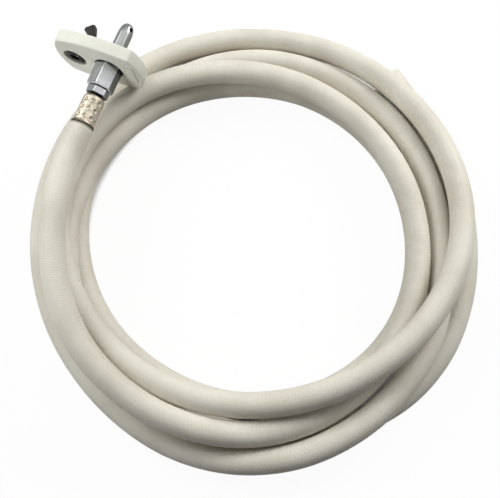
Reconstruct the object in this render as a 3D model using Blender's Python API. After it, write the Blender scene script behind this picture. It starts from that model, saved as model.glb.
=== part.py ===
# A coil of thick flexible hose. One end is cut square and bare. The other is
# crimped onto a plug-in fitting: a bullet-nosed probe, held in an oblong index
# plate that also carries a sprung latch lever.
# Metres, +Z up. The coil lies flat on z = 0, with the origin at the centre of
# the whole footprint.

import math

import bmesh
import bpy
import numpy as np
from mathutils import Matrix, Vector

MM = 0.001
GAP = 0.3 * MM                     # clearance wherever two pieces meet
ROUND = 32                         # sides of a turned piece
OVERRUN = 2.0 * MM                 # how far a drill runs out past an end
CHAMFER = 30.0                     # degrees, of a hexagon's corners

# Hose
HOSE_DIAMETER = 12.7 * MM
HOSE_BORE = 6.35 * MM
HOSE_SHOULDER = 1.2 * MM           # full size stops this far short of the ferrule
FLOOR_CUT = 0.1 * HOSE_DIAMETER    # depth of the flat that the coil lies on

# Coil: lanes count outwards and layers upwards, both in steps of COIL_PITCH
COIL_GAP = 0.5 * MM
COIL_PITCH = HOSE_DIAMETER + COIL_GAP
COIL_RADIUS = 84.7 * MM            # middle of lane 0
COIL_CENTRE = (-0.4 * MM, 0.7 * MM)   # puts the origin at the middle of the footprint
FIRST_STATION = 135.0              # degrees, where the first column stands
STATIONS_PER_TURN = 8
POINTS_PER_TURN = 24
BARE_END_ANGLE = 1850.0            # degrees, counted on from the first turn
SETTLE_GAP = 0.65 * MM             # gap that settling aims for
SETTLE_PASSES = 120
SETTLE_SMOOTHING = 0.15            # share of a bend in the shifts taken out in a pass
SMOOTHING_FADE = 1.2               # smoothing fades out before the last pass
SAMPLES_PER_SEGMENT = 8
TURNS = (
    # 135         180          225          270          315          0            45           90
    ((0.95, 2.7), (0.90, 3.1), (1.60, 2.4), (1.64, 1.1), (0.90, 0.9), (0.05, 1.1), (-0.1, 0.9), (0.30, 1.0)),
    ((0.80, 1.6), (1.05, 2.1), (1.00, 1.6), (0.90, 1.3), (1.10, 2.0), (1.75, 1.4), (2.15, 0.7), (2.55, 0.0)),
    ((2.55, 0.0), (2.20, 0.0), (2.12, 0.0), (2.42, 0.5), (1.85, 0.9), (0.95, 0.7), (1.35, 0.2), (1.55, 0.1)),
    ((1.10, 0.0), (0.80, 0.0), (0.70, 0.0), (0.74, 0.0), (0.70, 0.0), (0.35, 0.0), (0.20, 0.0), (0.30, 0.0)),
    ((0.40, 0.7), (0.95, 1.1), (1.40, 0.7), (1.80, 0.0), (2.50, 0.0), (2.25, 0.0), (2.60, 0.0), (5.40, 0.0)),
)

# Place of the fitting: the ferrule's mouth, and the axis from there to the tip
MOUTH_ANGLE = 153.4                # degrees
MOUTH_LANE = 0.94
MOUTH_LAYER = 2.95
FITTING_HEADING = 68.9             # degrees from +X
FITTING_PITCH = 3.5                # degrees above level
FITTING_ROLL = -5.0                # degrees, latch end of the plate down

# Crimp ferrule
FERRULE_DIAMETER = 11.1 * MM
FERRULE_WALL = 0.75 * MM
FERRULE_LENGTH = 16.5 * MM
FERRULE_END = 1.2 * MM             # thickness of its end wall
FLARE_DIAMETER = 12.4 * MM
FLARE_LENGTH = 1.6 * MM
FERRULE_ROUNDING = 2.0 * MM

# Hose tail: barb, collar, neck, hexagon and spigot
TAIL_BORE = 3.0 * MM
BARB_DIAMETER = 4.6 * MM
BARB_DEPTH = 0.35 * MM             # of the grooves between its rings
BARB_RINGS = 3
BARB_SLOPE = 0.75                  # share of a ring that slopes
BARB_START = 1.5 * MM              # from the ferrule's mouth
COLLAR_DIAMETER = 7.4 * MM
COLLAR_LENGTH = 1.5 * MM
TAIL_NECK = 5.8 * MM
TAIL_GAP = 0.9 * MM                # bare neck between ferrule and hexagon
TAIL_HEX = 10.3 * MM               # across flats
TAIL_HEX_LENGTH = 3.7 * MM
SPIGOT_DIAMETER = 6.6 * MM
SPIGOT_LENGTH = 6.5 * MM
HEX_TURN = 3.6                     # degrees, a flat's normal from the plate's long axis

# Union nut with its seal
NUT_HEX = 12.6 * MM                # across flats
NUT_LENGTH = 14.7 * MM
NUT_SINK = 2.1 * MM                # depth inside the plate's pocket
SEAL_THICKNESS = 1.2 * MM
WASHER_THICKNESS = 0.8 * MM
WASHER_DIAMETER = 13.4 * MM

# Index plate
PLATE_THICKNESS = 7.0 * MM
PLATE_LENGTH = 49.0 * MM
PLATE_WIDTH = 33.0 * MM
PLATE_END_RADIUS = 24.5 * MM
PLATE_SIDE_RADIUS = 75.0 * MM
PLATE_OFFSET = 6.0 * MM            # middle of the plate from the probe, to the latch
PLATE_ROUNDING = 0.9 * MM
POCKET_DIAMETER = 15.6 * MM        # back pocket round the union nut
FRONT_POCKET_DEPTH = 1.2 * MM
LATCH_HOLE = 12.6 * MM
LATCH_OFFSET = 20.0 * MM           # latch hole from the probe
PANEL_WIDTH = 5.0 * MM             # blank raised panel on the back
PANEL_LENGTH = 13.0 * MM
PANEL_HEIGHT = 0.4 * MM
PANEL_INSET = 5.4 * MM             # panel's middle from the plate's end

# Probe
PROBE_DIAMETER = 7.8 * MM
PROBE_LENGTH = 19.0 * MM           # flange to tip
PROBE_FLANGE = 12.2 * MM
FLANGE_THICKNESS = 1.4 * MM
PROBE_SHANK = 7.2 * MM             # part that passes through the plate
NOSE_LENGTH = 6.5 * MM
NOSE_FLAT = 2.8 * MM
NOSE_STEPS = 8
PORT_DIAMETER = 2.0 * MM
PORT_FROM_TIP = 3.2 * MM
PORT_TURN = 150.0                  # degrees from the plate's long axis

# Latch
PIN_DIAMETER = 2.0 * MM
PIN_SEAT = 3.0 * MM                # length held in the plate at each end
LEVER_WIDTH = 7.4 * MM             # over the knuckle's two ears
KNUCKLE_DEPTH = 3.2 * MM           # below the pin, towards the plate's back
KNUCKLE_INNER = 4.2 * MM           # its side towards the probe
KNUCKLE_OUTER = 4.4 * MM
KNUCKLE_CORNER = 1.2 * MM          # chamfers along its back
KNUCKLE_SHOULDER = 1.0 * MM        # height of its outer side over the pin
ARM_WIDTH = 3.6 * MM
ARM_THICKNESS = 3.8 * MM
ARM_OFFSET = 3.0 * MM              # middle of the arm from the pin, to the probe
ARM_FOOT = 3.4 * MM                # the arm stands on the knuckle, this far from the pin
ARM_OVERLAP = 1.0 * MM             # depth to which it is sunk into the knuckle
HOOK_REACH = 16.7 * MM             # pin to hook tip
HOOK_NOSE = 2.5 * MM
HOOK_LENGTH = 4.3 * MM
HOOK_FLAT = 1.5 * MM               # thickness of the tip
HOOK_SLOPE = 2.8 * MM              # fall of the ramp to the nose
HOOK_LEAN = 1.6 * MM               # lean of the side towards the probe
CATCH_SLOPE = 0.8 * MM             # fall of the catch towards the arm
SPRING_WIRE = 0.55 * MM
SPRING_PITCH = 1.15 * MM
SPRING_TURNS = 3
SPRING_LEG = 2.2 * MM
POINTS_PER_CURL = 10

COLOURS = {                        # base colour, roughness, metallic
    "hose": ((0.70, 0.66, 0.58), 0.62, 0.0),
    "nickel": ((0.66, 0.60, 0.50), 0.32, 1.0),
    "steel": ((0.60, 0.61, 0.62), 0.30, 1.0),
    "chrome": ((0.78, 0.79, 0.80), 0.12, 1.0),
    "plastic": ((0.74, 0.74, 0.68), 0.48, 0.0),
    "rubber": ((0.03, 0.03, 0.03), 0.75, 0.0),
    "black": ((0.04, 0.04, 0.035), 0.5, 0.2),
    "spring": ((0.55, 0.55, 0.56), 0.3, 1.0),
}

# Places along the fitting's axis, from the ferrule's mouth
TAIL_HEX_START = FERRULE_LENGTH + TAIL_GAP
SPIGOT_START = TAIL_HEX_START + TAIL_HEX_LENGTH
NUT_START = SPIGOT_START + GAP
NUT_END = NUT_START + NUT_LENGTH
SEAL_START = SPIGOT_START + SPIGOT_LENGTH + GAP
SHANK_START = SEAL_START + SEAL_THICKNESS + GAP
PLATE_BACK = NUT_END - NUT_SINK
WASHER_START = NUT_END + GAP
POCKET_FLOOR = WASHER_START + WASHER_THICKNESS + GAP
PLATE_FRONT = PLATE_BACK + PLATE_THICKNESS
FLANGE_START = PLATE_FRONT - FRONT_POCKET_DEPTH + GAP
FLANGE_END = FLANGE_START + FLANGE_THICKNESS
PROBE_TIP = FLANGE_END + PROBE_LENGTH
LATCH_HEIGHT = (PLATE_BACK + PLATE_FRONT) / 2
COLLAR_END = FERRULE_LENGTH - FERRULE_END - GAP
HOSE_END = COLLAR_END - COLLAR_LENGTH - GAP
NECK_RADIUS = FERRULE_DIAMETER / 2 - FERRULE_WALL - GAP


def material(name):
    """Principled material of one of the part's finishes."""
    colour, roughness, metallic = COLOURS[name]
    found = bpy.data.materials.get(name) or bpy.data.materials.new(name)
    found.use_nodes = True
    shader = found.node_tree.nodes["Principled BSDF"]
    shader.inputs["Base Color"].default_value = (*colour, 1.0)
    shader.inputs["Roughness"].default_value = roughness
    shader.inputs["Metallic"].default_value = metallic
    found.diffuse_color = (*colour, 1.0)
    return found


def add_object(name, mesh, finish, parent=None):
    """Link a mesh as a named object with its finish, shaded smooth."""
    thing = bpy.data.objects.new(name, mesh)
    bpy.context.collection.objects.link(thing)
    if finish:
        mesh.materials.clear()
        mesh.materials.append(material(finish))
    mesh.shade_smooth()
    mesh.set_sharp_from_angle(angle=math.radians(35.0))
    thing.parent = parent
    return thing


def finish_mesh(name, shape):
    """Close a bmesh into a mesh with its faces pointing out."""
    bmesh.ops.recalc_face_normals(shape, faces=shape.faces)
    mesh = bpy.data.meshes.new(name)
    shape.to_mesh(mesh)
    shape.free()
    return mesh


def turned_mesh(name, profile, sides=ROUND, turn=0.0):
    """Revolve (radius, height) points about Z; a radius of 0 closes an end."""
    shape = bmesh.new()
    rings = []
    for radius, height in profile:
        if radius == 0.0:
            rings.append([shape.verts.new((0.0, 0.0, height))])
            continue
        angles = [turn + math.tau * k / sides for k in range(sides)]
        rings.append([shape.verts.new((radius * math.cos(a), radius * math.sin(a), height)) for a in angles])
    closed = len(rings[0]) > 1
    pairs = zip(rings, rings[1:] + rings[:1]) if closed else zip(rings, rings[1:])
    for low, high in pairs:
        for k in range(sides):
            corners = [low[k % len(low)], low[(k + 1) % len(low)], high[(k + 1) % len(high)], high[k % len(high)]]
            shape.faces.new(list(dict.fromkeys(corners)))
    return finish_mesh(name, shape)


def rod_mesh(name, radius, low, high, sides=ROUND, turn=0.0):
    """Solid rod or prism about Z between two heights."""
    return turned_mesh(name, [(0.0, low), (radius, low), (radius, high), (0.0, high)], sides, turn)


def extruded_mesh(name, outline, low, high):
    """Prism with an outline in XY, from one height to another."""
    shape = bmesh.new()
    base = [shape.verts.new((x, y, low)) for x, y in outline]
    lid = [shape.verts.new((x, y, high)) for x, y in outline]
    shape.faces.new(base)
    shape.faces.new(lid)
    for k, start in enumerate(base):
        after = (k + 1) % len(base)
        shape.faces.new((start, base[after], lid[after], lid[k]))
    return finish_mesh(name, shape)


def box_mesh(name, low, high):
    """Box between two corners."""
    outline = [(low[0], low[1]), (high[0], low[1]), (high[0], high[1]), (low[0], high[1])]
    return extruded_mesh(name, outline, low[2], high[2])


def boolean(thing, mesh, operation="DIFFERENCE", place=None):
    """Cut a hidden tool mesh out of an object, or join or intersect the two."""
    tool = bpy.data.objects.new(f"{thing.name}_{mesh.name}", mesh)
    bpy.context.collection.objects.link(tool)
    tool.parent = thing
    if place is not None:
        tool.matrix_local = place
    tool.hide_render = True
    tool.display_type = "WIRE"
    step = thing.modifiers.new(mesh.name, "BOOLEAN")
    step.operation = operation
    step.solver = "EXACT"
    step.object = tool


def bevel(thing, width, segments, angle=50.0):
    """Round the sharp edges of an object."""
    step = thing.modifiers.new("rounding", "BEVEL")
    step.width = width
    step.segments = segments
    step.limit_method = "ANGLE"
    step.angle_limit = math.radians(angle)


def fitting_matrix():
    """Frame of the fitting: +Z along the probe, +X along the plate to the latch."""
    heading, pitch, roll = (math.radians(a) for a in (FITTING_HEADING, FITTING_PITCH, FITTING_ROLL))
    along = Vector((math.cos(heading) * math.cos(pitch), math.sin(heading) * math.cos(pitch), math.sin(pitch)))
    level = Vector((-math.sin(heading), math.cos(heading), 0.0))
    above = along.cross(level)
    across = math.cos(roll) * level + math.sin(roll) * above
    turn = Matrix((across, along.cross(across), along)).transposed()
    mouth = coil_point(MOUTH_ANGLE, MOUTH_LANE, MOUTH_LAYER)
    return Matrix.Translation(mouth) @ turn.to_4x4()


def coil_point(angle, lane, layer):
    """Place in the coil from an angle in degrees, a lane and a layer."""
    radius = COIL_RADIUS + COIL_PITCH * lane
    height = HOSE_DIAMETER / 2 - FLOOR_CUT + COIL_PITCH * layer
    turn = math.radians(angle)
    return Vector((COIL_CENTRE[0] + radius * math.cos(turn), COIL_CENTRE[1] + radius * math.sin(turn), height))


def smooth_curve(values, place):
    """Value of the even curve through a list of values, at a fractional place."""
    first = 2 * values[0] - values[1]
    last = 2 * values[-1] - values[-2]
    padded = [first, *values, last]
    k = min(max(int(place), 0), len(values) - 2)
    f = place - k
    a, b, c, d = padded[k:k + 4]
    return 0.5 * (2 * b + (c - a) * f + (2 * a - 5 * b + 4 * c - d) * f**2 + (3 * b - a - 3 * c + d) * f**3)


def coil_samples(points, per_segment=SAMPLES_PER_SEGMENT):
    """Even samples along a polyline, with the segment and share of each."""
    segment = np.repeat(np.arange(len(points) - 1), per_segment)
    share = np.tile(np.arange(per_segment) / per_segment, len(points) - 1)[:, None]
    return points[segment] * (1 - share) + points[segment + 1] * share, segment, share


def close_pairs(samples, reach, skip):
    """Pairs of samples of different turns that lie closer than reach."""
    offset = samples[:, None] - samples[None]
    distance = np.sqrt((offset**2).sum(axis=2))
    order = np.arange(len(samples))
    first, second = np.nonzero((distance < reach) & (order[:, None] - order[None] > skip))
    return first, second, offset[first, second], distance[first, second]


def settle(route, held):
    """Push touching turns apart until they lie beside and on each other.

    The first points stay where they are, nothing sinks below the floor layer,
    and each shift is shared with its neighbours so that the hose stays smooth.
    """
    lowest = HOSE_DIAMETER / 2 - FLOOR_CUT
    clear = HOSE_DIAMETER + SETTLE_GAP
    skip = SAMPLES_PER_SEGMENT * POINTS_PER_TURN // 3
    points = route.copy()
    for k in range(SETTLE_PASSES):
        samples, segment, share = coil_samples(points)
        first, second, offset, distance = close_pairs(samples, clear, skip)
        if len(first) == 0:
            break
        push = offset / distance[:, None] * (clear - distance)[:, None] / 2
        total = np.zeros_like(points)
        weight = np.full(len(points), 1e-9)
        for side, sign in ((first, 1.0), (second, -1.0)):
            for after, part in ((0, 1 - share[side]), (1, share[side])):
                np.add.at(total, segment[side] + after, sign * push * part)
                np.add.at(weight, segment[side] + after, part[:, 0])
        step = total / np.maximum(weight, 1.0)[:, None]
        step[:held] = 0.0
        shift = points + step - route
        smoothing = max(0.0, SETTLE_SMOOTHING * (1.0 - SMOOTHING_FADE * k / SETTLE_PASSES))
        shift[1:-1] += smoothing * (shift[:-2] + shift[2:] - 2 * shift[1:-1])
        shift[:held] = 0.0
        points = route + shift
        points[:, 2] = np.maximum(points[:, 2], lowest)
    return points


def hose_route():
    """Centre line of the hose from the ferrule's mouth to the bare end."""
    lanes = [lane for turn in TURNS for lane, _ in turn]
    layers = [layer for turn in TURNS for _, layer in turn]
    frame = fitting_matrix()
    straight_end = frame @ Vector((0.0, 0.0, -HOSE_DIAMETER))
    centre = Vector((*COIL_CENTRE, 0.0))
    start = math.degrees(math.atan2(*(straight_end - centre).yx))
    step = 360.0 / POINTS_PER_TURN
    angles = list(np.arange(start + step, BARE_END_ANGLE - step / 2, step)) + [BARE_END_ANGLE]
    route = [straight_end]
    for angle in angles:
        place = (angle - FIRST_STATION) * STATIONS_PER_TURN / 360.0
        layer = max(smooth_curve(layers, place), 0.0)
        route.append(coil_point(angle, smooth_curve(lanes, place), layer))
    return settle(np.array(route), held=2)


def tube_mesh(name, points, radii, bevel_resolution):
    """Tube with filled ends along points, as a curve turned into a mesh."""
    curve = bpy.data.curves.new(name, "CURVE")
    curve.dimensions = "3D"
    curve.twist_mode = "Z_UP"
    curve.bevel_depth = 1.0
    curve.bevel_resolution = bevel_resolution
    curve.use_fill_caps = True
    spline = curve.splines.new("POLY")
    spline.points.add(len(points) - 1)
    for knot, place, radius in zip(spline.points, points, radii):
        knot.co = (*place, 1.0)
        knot.radius = radius
    guide = bpy.data.objects.new(name, curve)
    bpy.context.collection.objects.link(guide)
    mesh = bpy.data.meshes.new_from_object(guide.evaluated_get(bpy.context.evaluated_depsgraph_get()))
    bpy.data.objects.remove(guide)
    shape = bmesh.new()
    shape.from_mesh(mesh)
    bmesh.ops.remove_doubles(shape, verts=shape.verts, dist=0.01 * MM)
    return finish_mesh(name, shape)


def make_hose():
    """The whole hose as one tube, necked into the ferrule, with its bore."""
    frame = fitting_matrix()
    route = hose_route()
    neck = [frame @ Vector((0.0, 0.0, z)) for z in (HOSE_END, GAP, -HOSE_SHOULDER)]
    points = neck + [Vector(p) for p in route]
    radii = [NECK_RADIUS, NECK_RADIUS] + [HOSE_DIAMETER / 2] * (len(points) - 2)
    thing = add_object("hose", tube_mesh("hose", points, radii, bevel_resolution=1), "hose")

    bore = [frame @ Vector((0.0, 0.0, OVERRUN)), frame @ Vector((0.0, 0.0, -HOSE_SHOULDER))]
    bore += points[3:]
    bore.append(points[-1] + (points[-1] - points[-2]).normalized() * OVERRUN)
    boolean(thing, tube_mesh("bore", bore, [HOSE_BORE / 2] * len(bore), bevel_resolution=0))
    barb_bore = rod_mesh("barb_bore", BARB_DIAMETER / 2 + GAP, -OVERRUN, HOSE_END + OVERRUN, 16)
    boolean(thing, barb_bore, place=frame)
    reach = 2 * (COIL_RADIUS + len(TURNS) * COIL_PITCH)
    boolean(thing, box_mesh("floor", (-reach, -reach, -HOSE_DIAMETER), (reach, reach, 0.0)))

    finer = 2 * SAMPLES_PER_SEGMENT
    samples, _, _ = coil_samples(route, finer)
    nearest = close_pairs(samples, 2 * HOSE_DIAMETER, finer * POINTS_PER_TURN // 3)[3].min()
    length = sum((b - a).length for a, b in zip(points, points[1:]))
    print(f"hose length {length:.3f} m, least gap to itself {(nearest - HOSE_DIAMETER) / MM:.2f} mm")
    return thing


def make_ferrule(parent):
    """Turned sleeve with a flared mouth and a rounded, holed end wall."""
    outer = FERRULE_DIAMETER / 2
    inner = outer - FERRULE_WALL
    flare = FLARE_DIAMETER / 2
    corner = FERRULE_LENGTH - FERRULE_ROUNDING
    profile = [(flare - FERRULE_WALL, 0.0), (flare, 0.0), (flare, FLARE_LENGTH / 3), (outer, FLARE_LENGTH)]
    for k in range(7):
        a = math.radians(15.0 * k)
        profile.append((outer - FERRULE_ROUNDING * (1 - math.cos(a)), corner + FERRULE_ROUNDING * math.sin(a)))
    hole = TAIL_NECK / 2 + GAP
    profile += [(hole, FERRULE_LENGTH), (hole, FERRULE_LENGTH - FERRULE_END)]
    profile += [(inner, FERRULE_LENGTH - FERRULE_END), (inner, FLARE_LENGTH)]
    return add_object("crimp_ferrule", turned_mesh("crimp_ferrule", profile), "nickel", parent)


def hex_mesh(name, across_flats, low, high):
    """Hexagonal prism about Z, turned as the fitting's hexagons are."""
    return rod_mesh(name, across_flats / math.sqrt(3), low, high, 6, math.radians(HEX_TURN + 30.0))


def chamfer_mesh(name, across_flats, low, high):
    """Turned envelope that takes the corners off a hexagon at both ends."""
    corner = across_flats / math.sqrt(3) + GAP
    face = across_flats / 2
    rise = (corner - face) * math.tan(math.radians(CHAMFER))
    return turned_mesh(name, [(0.0, low), (face, low), (corner, low + rise),
                              (corner, high - rise), (face, high), (0.0, high)], 48)


def make_tail(parent):
    """Hose tail: barb in the hose, collar and neck in the ferrule, hexagon, spigot."""
    barb = BARB_DIAMETER / 2
    root = barb - BARB_DEPTH
    neck = TAIL_NECK / 2
    spigot = SPIGOT_DIAMETER / 2
    collar_start = COLLAR_END - COLLAR_LENGTH
    ring = (collar_start - BARB_START) / BARB_RINGS
    profile = [(0.0, BARB_START)]
    for k in range(BARB_RINGS):
        low = BARB_START + ring * k
        profile += [(root, low), (barb, low + BARB_SLOPE * ring), (barb, low + ring)]
    profile += [(COLLAR_DIAMETER / 2, collar_start), (COLLAR_DIAMETER / 2, COLLAR_END), (neck, COLLAR_END)]
    middle = TAIL_HEX_START + TAIL_HEX_LENGTH / 2
    profile += [(neck, middle), (spigot, middle), (spigot, SPIGOT_START + SPIGOT_LENGTH)]
    profile.append((0.0, SPIGOT_START + SPIGOT_LENGTH))
    thing = add_object("hose_tail", turned_mesh("hose_tail", profile), "steel", parent)
    hexagon = hex_mesh("hexagon", TAIL_HEX, TAIL_HEX_START, SPIGOT_START)
    boolean(thing, hexagon, "UNION")
    drill = rod_mesh("drill", TAIL_BORE / 2, 0.0, SPIGOT_START + 2 * SPIGOT_LENGTH, 20)
    boolean(thing, drill)
    return thing


def make_union_nut(parent):
    """Long hexagonal nut that joins the hose tail to the probe's shank."""
    thing = add_object("union_nut", hex_mesh("union_nut", NUT_HEX, NUT_START, NUT_END), "steel", parent)
    boolean(thing, chamfer_mesh("chamfer", NUT_HEX, NUT_START, NUT_END), "INTERSECT")
    thread = rod_mesh("thread", SPIGOT_DIAMETER / 2 + GAP, NUT_START - NUT_LENGTH, NUT_END + NUT_LENGTH)
    boolean(thing, thread)
    return thing


def make_rings(parent):
    """Seal inside the union nut, and washer between the nut and the plate."""
    def flat_ring(name, inner, outer, low, thickness, finish):
        profile = [(inner, low), (outer, low), (outer, low + thickness), (inner, low + thickness)]
        return add_object(name, turned_mesh(name, profile), finish, parent)

    flat_ring("union_seal", TAIL_BORE / 2 + GAP, SPIGOT_DIAMETER / 2, SEAL_START, SEAL_THICKNESS, "rubber")
    flat_ring("plate_washer", SPIGOT_DIAMETER / 2 + GAP, WASHER_DIAMETER / 2,
              WASHER_START, WASHER_THICKNESS, "steel")


def make_probe(parent):
    """Bullet-nosed probe with its flange, shank, bore and cross port."""
    body = PROBE_DIAMETER / 2
    thin = SPIGOT_DIAMETER / 2
    shank = PROBE_SHANK / 2
    flange = PROBE_FLANGE / 2
    tip = NOSE_FLAT / 2
    profile = [(0.0, SHANK_START), (thin, SHANK_START), (thin, POCKET_FLOOR + GAP), (shank, POCKET_FLOOR + GAP),
               (shank, FLANGE_START), (flange, FLANGE_START), (flange, FLANGE_END), (body, FLANGE_END)]
    for k in range(NOSE_STEPS + 1):
        share = k / NOSE_STEPS
        radius = tip + (body - tip) * math.sqrt(1 - share**2)
        profile.append((radius, PROBE_TIP - NOSE_LENGTH * (1 - share)))
    profile[-1] = (tip, PROBE_TIP)
    profile.append((0.0, PROBE_TIP))
    thing = add_object("probe", turned_mesh("probe", profile), "chrome", parent)
    port_height = PROBE_TIP - PORT_FROM_TIP
    drill = rod_mesh("drill", TAIL_BORE / 2, SHANK_START - PORT_FROM_TIP, port_height, 20)
    boolean(thing, drill)
    port = rod_mesh("port", PORT_DIAMETER / 2, -PROBE_DIAMETER, PROBE_DIAMETER, 16)
    across = Matrix.Rotation(math.radians(PORT_TURN), 4, "Z") @ Matrix.Rotation(math.radians(90.0), 4, "Y")
    boolean(thing, port, place=Matrix.Translation((0.0, 0.0, port_height)) @ across)
    return thing


def plate_outline():
    """Oblong outline: two end arcs cut by two nearly flat side arcs."""
    half_width = PLATE_WIDTH / 2
    half_length = PLATE_LENGTH / 2
    end = PLATE_END_RADIUS
    side = PLATE_SIDE_RADIUS
    end_centre = half_length - end
    side_centre = half_width - side
    low, high = 0.0, math.pi / 2
    for _ in range(50):
        corner = (low + high) / 2
        x = end_centre + end * math.cos(corner)
        if math.hypot(x, end * math.sin(corner) - side_centre) < side:
            low = corner
        else:
            high = corner
    x = end_centre + end * math.cos(corner)
    side_angle = math.asin(x / side)
    quarter = [(end_centre + end * math.cos(corner * k / 8), end * math.sin(corner * k / 8)) for k in range(9)]
    quarter += [(side * math.sin(side_angle * k / 4), side_centre + side * math.cos(side_angle * k / 4))
                for k in range(3, -1, -1)]
    left = [(-x, y) for x, y in reversed(quarter[:-1])]
    upper = quarter + left
    lower = [(x, -y) for x, y in reversed(upper[1:-1])]
    return [(x + PLATE_OFFSET, y) for x, y in upper + lower]


def make_plate(parent):
    """Index plate with pockets for nut and flange, and the latch's hole."""
    outline = plate_outline()
    thing = add_object("index_plate", extruded_mesh("index_plate", outline, PLATE_BACK, PLATE_FRONT),
                       "plastic", parent)
    bevel(thing, PLATE_ROUNDING, 3)
    over = PLATE_THICKNESS
    pocket = rod_mesh("back_pocket", POCKET_DIAMETER / 2, PLATE_BACK - over, POCKET_FLOOR)
    front = rod_mesh("front_pocket", PROBE_FLANGE / 2 + GAP, PLATE_FRONT - FRONT_POCKET_DEPTH, PLATE_FRONT + over)
    shank_hole = rod_mesh("shank_hole", PROBE_SHANK / 2 + GAP, PLATE_BACK, PLATE_FRONT)
    for tool in (pocket, front, shank_hole):
        boolean(thing, tool)
    hole = rod_mesh("latch_hole", LATCH_HOLE / 2, -over, over)
    place = Matrix.Translation((LATCH_OFFSET, 0.0, LATCH_HEIGHT))
    boolean(thing, hole, place=place)
    drilling = rod_mesh("pin_drilling", PIN_DIAMETER / 2 + GAP, -PLATE_WIDTH, pin_half_length() + GAP, 16)
    boolean(thing, drilling, place=place @ Matrix.Rotation(math.radians(-90.0), 4, "X"))
    middle = PLATE_OFFSET - PLATE_LENGTH / 2 + PANEL_INSET
    low = (middle - PANEL_WIDTH / 2, -PANEL_LENGTH / 2, PLATE_BACK - PANEL_HEIGHT)
    high = (middle + PANEL_WIDTH / 2, PANEL_LENGTH / 2, PLATE_BACK + PANEL_HEIGHT)
    boolean(thing, box_mesh("panel", low, high), "UNION")
    return thing


def pin_half_length():
    """Half the length of the latch's pin."""
    return LATCH_HOLE / 2 + PIN_SEAT


def spring_width():
    """Length of the spring along the pin, over its wire."""
    return SPRING_PITCH * SPRING_TURNS + SPRING_WIRE


def lever_outlines():
    """Sides of the knuckle and of the arm in (x, z), the pin at (0, 0)."""
    inner = -ARM_OFFSET - ARM_THICKNESS / 2
    outer = inner + ARM_THICKNESS
    knuckle = [(-KNUCKLE_INNER, KNUCKLE_CORNER - KNUCKLE_DEPTH), (KNUCKLE_CORNER - KNUCKLE_INNER, -KNUCKLE_DEPTH),
               (KNUCKLE_OUTER - KNUCKLE_CORNER, -KNUCKLE_DEPTH), (KNUCKLE_OUTER, KNUCKLE_CORNER - KNUCKLE_DEPTH),
               (KNUCKLE_OUTER, KNUCKLE_SHOULDER), (outer, ARM_FOOT), (-KNUCKLE_INNER, ARM_FOOT)]
    catch = HOOK_REACH - HOOK_LENGTH
    tip = inner + HOOK_LEAN
    arm = [(inner, ARM_FOOT - ARM_OVERLAP), (outer, ARM_FOOT - ARM_OVERLAP), (outer, catch - CATCH_SLOPE),
           (outer + HOOK_NOSE, catch), (outer + HOOK_NOSE, HOOK_REACH - HOOK_SLOPE), (tip + HOOK_FLAT, HOOK_REACH),
           (tip, HOOK_REACH), (inner, catch)]
    return knuckle, arm


def make_latch(parent):
    """Lever and its pin. The lever's origin is on the pin's axis."""
    place = Matrix.Translation((LATCH_OFFSET, 0.0, LATCH_HEIGHT))
    stand_up = Matrix.Rotation(math.radians(90.0), 4, "X")
    knuckle, arm = lever_outlines()
    mesh = extruded_mesh("latch_lever", knuckle, -LEVER_WIDTH / 2, LEVER_WIDTH / 2)
    mesh.transform(stand_up)
    lever = add_object("latch_lever", mesh, "black", parent)
    lever.matrix_local = place
    boolean(lever, extruded_mesh("arm", arm, -ARM_WIDTH / 2, ARM_WIDTH / 2), "UNION", stand_up)
    pin_hole = rod_mesh("pin_hole", PIN_DIAMETER / 2 + GAP, -LEVER_WIDTH, LEVER_WIDTH, 20)
    boolean(lever, pin_hole, place=stand_up)
    slot = spring_width() / 2 + GAP
    room = PIN_DIAMETER / 2 + 2 * GAP + SPRING_WIRE + GAP
    roof = room + SPRING_WIRE
    boolean(lever, box_mesh("slot", (-room, -slot, -2 * room), (SPRING_LEG + 2 * GAP, slot, roof)))

    mesh = rod_mesh("latch_pin", PIN_DIAMETER / 2, -pin_half_length(), pin_half_length(), 20)
    mesh.transform(stand_up)
    pin = add_object("latch_pin", mesh, "steel", parent)
    pin.matrix_local = place


def make_spring(parent):
    """Torsion spring wound round the pin, with a straight leg at each end."""
    radius = PIN_DIAMETER / 2 + GAP + SPRING_WIRE / 2
    start = math.radians(90.0)
    half = SPRING_PITCH * SPRING_TURNS / 2
    count = POINTS_PER_CURL * SPRING_TURNS + POINTS_PER_CURL // 4
    angles = [start + math.tau * k / POINTS_PER_CURL for k in range(count + 1)]
    whole = angles[-1] - angles[0]
    points = [Vector((radius * math.cos(a), half * (2 * (a - start) / whole - 1), radius * math.sin(a)))
              for a in angles]
    first = Vector((1.0, 0.0, 0.0))
    last = (points[-1] - points[-2]).normalized()
    points = [points[0] + first * SPRING_LEG] + points + [points[-1] + last * (SPRING_LEG / 2)]
    mesh = tube_mesh("latch_spring", points, [SPRING_WIRE / 2] * len(points), bevel_resolution=1)
    spring = add_object("latch_spring", mesh, "spring", parent)
    spring.matrix_local = Matrix.Translation((LATCH_OFFSET, 0.0, LATCH_HEIGHT))
    samples, _, _ = coil_samples(np.array([list(p) for p in points]))
    nearest = close_pairs(samples, PLATE_LENGTH, SAMPLES_PER_SEGMENT * POINTS_PER_CURL // 2)[3].min()
    print(f"spring least gap to itself {(nearest - SPRING_WIRE) / MM:.2f} mm")
    return spring


def build():
    """Make every piece."""
    for thing in list(bpy.data.objects):
        bpy.data.objects.remove(thing)
    fitting = bpy.data.objects.new("fitting_axis", None)
    bpy.context.collection.objects.link(fitting)
    fitting.matrix_world = fitting_matrix()
    make_hose()
    make_ferrule(fitting)
    make_tail(fitting)
    make_union_nut(fitting)
    make_rings(fitting)
    make_probe(fitting)
    make_plate(fitting)
    make_latch(fitting)
    make_spring(fitting)


build()
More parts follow.
